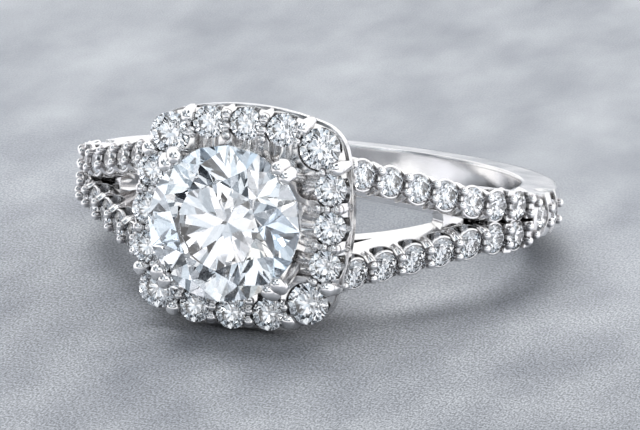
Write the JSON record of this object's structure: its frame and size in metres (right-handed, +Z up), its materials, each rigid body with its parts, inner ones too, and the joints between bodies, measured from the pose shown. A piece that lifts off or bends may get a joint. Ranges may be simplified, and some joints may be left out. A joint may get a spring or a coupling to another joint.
{
  "type": "engagement ring mounting",
  "caption": "Diamond halo ring with a round centre stone in double claws and pave-set split shoulders, lying on its side.",
  "frame": {"origin": "on the floor under the middle of the ring as it lies on its side", "axes": "+Y from the centre stone at the front towards the plain back, +Z up from the floor, +X to the right of the halo"},
  "size_m": [0.0206, 0.0254, 0.0094],
  "materials": {
    "white_metal": "polished platinum",
    "centre_diamond": "faceted round brilliant",
    "halo_diamond": "faceted round brilliant",
    "shoulder_diamond": "faceted round brilliant"
  },
  "bodies": {
    "root": {"mounting": "white_metal", "centre_stone": "centre_diamond", "halo_stone_01": "halo_diamond", "halo_stone_02": "halo_diamond", "halo_stone_03": "halo_diamond", "halo_stone_04": "halo_diamond", "halo_stone_05": "halo_diamond", "halo_stone_06": "halo_diamond", "halo_stone_07": "halo_diamond", "halo_stone_08": "halo_diamond", "halo_stone_09": "halo_diamond", "halo_stone_10": "halo_diamond", "halo_stone_11": "halo_diamond", "halo_stone_12": "halo_diamond", "halo_stone_13": "halo_diamond", "halo_stone_14": "halo_diamond", "halo_stone_15": "halo_diamond", "halo_stone_16": "halo_diamond", "shoulder_stones_right_upper": "shoulder_diamond", "shoulder_stones_right_lower": "shoulder_diamond", "shoulder_stones_left_upper": "shoulder_diamond", "shoulder_stones_left_lower": "shoulder_diamond", "end_stones_right": "shoulder_diamond", "end_stones_left": "shoulder_diamond"}
  },
  "joints": []
}
